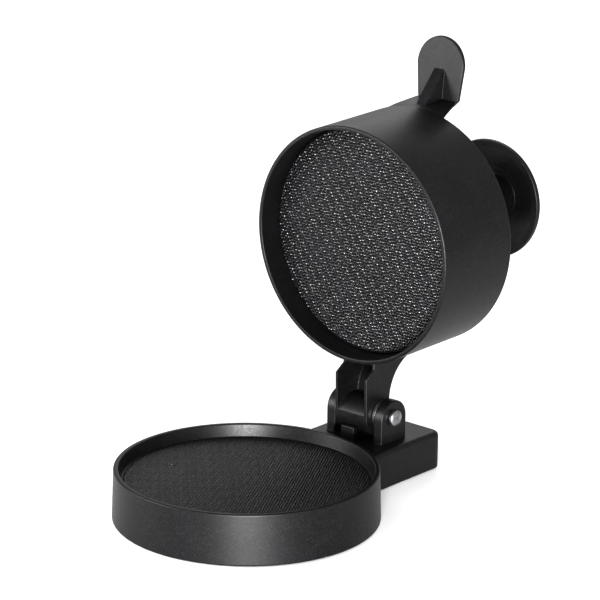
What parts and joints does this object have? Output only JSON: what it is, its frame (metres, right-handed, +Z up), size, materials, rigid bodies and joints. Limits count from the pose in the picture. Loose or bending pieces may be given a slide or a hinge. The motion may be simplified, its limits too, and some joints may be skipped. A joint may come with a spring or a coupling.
{
  "type": "patty press",
  "caption": "Hinged patty press: round dish with rear hinge block, swinging pressing cylinder with lifting tab, dimpled press plate on a threaded spindle, sprung mushroom knob.",
  "frame": {"origin": "on the table, under the middle of the open press's bounding box", "axes": "+X to the right seen from the dish, +Y from the dish to the hinge, +Z up"},
  "size_m": [0.1284, 0.2628, 0.213],
  "materials": {
    "black_cast_aluminium": "satin near-black powder coat over cast aluminium, fine grain",
    "black_coated_plate": "satin near-black non-stick coat over a dimpled face",
    "bright_steel": "bright turned steel",
    "spring_steel": "drawn spring wire, slightly dark",
    "bearing_bronze": "plain bearing bronze",
    "black_rubber": "matt"
  },
  "bodies": {
    "base": {"base_casting": "black_cast_aluminium", "foot_front_left": "black_rubber", "foot_front_right": "black_rubber", "foot_rear_left": "black_rubber", "foot_rear_right": "black_rubber", "hinge_pin": "bright_steel", "hinge_pin_clip": "bright_steel", "hinge_washer_left": "bright_steel", "hinge_washer_right": "bright_steel"},
    "housing": {"upper_housing": "black_cast_aluminium", "hinge_bush_left": "bearing_bronze", "hinge_bush_right": "bearing_bronze", "guide_bush": "bearing_bronze", "return_spring": "spring_steel"},
    "sleeve": {"thread_sleeve": "bright_steel", "sleeve_stop_washer": "bright_steel", "sleeve_stop_clip": "spring_steel"},
    "plate": {"press_plate": "black_coated_plate", "plate_hub": "bright_steel", "plate_screw_1": "bright_steel", "plate_screw_2": "bright_steel", "plate_screw_3": "bright_steel"},
    "spindle": {"spindle": "bright_steel", "spindle_clip": "spring_steel", "knob": "black_cast_aluminium", "knob_set_screw": "bright_steel"}
  },
  "joints": [
    {"name": "lid_hinge", "type": "hinge", "parent": "base", "child": "housing", "pos_m": [0, 0.02049, 0.032], "axis": [1, 0, 0], "range_deg": [0, 88.38]},
    {"name": "plunger_press", "type": "slide", "parent": "housing", "child": "sleeve", "axis": [0, -0.9996, -0.0283], "range_m": [0, 0.0115], "stiffness_N_per_m": 600, "springref_m": -0.012, "deforming": ["return_spring"]},
    {"name": "plate_height", "type": "slide", "parent": "sleeve", "child": "plate", "axis": [0, 0.9996, 0.0283], "range_m": [0, 0.018]},
    {"name": "knob_turn", "type": "hinge", "parent": "plate", "child": "spindle", "pos_m": [0, 0.11542, 0.12242], "axis": [0, 0.9996, 0.0283], "range_deg": [0, 2160]}
  ],
  "couplings": [
    {"joint": "knob_turn", "follows": "plate_height", "rad_per_m": 2094.4}
  ]
}
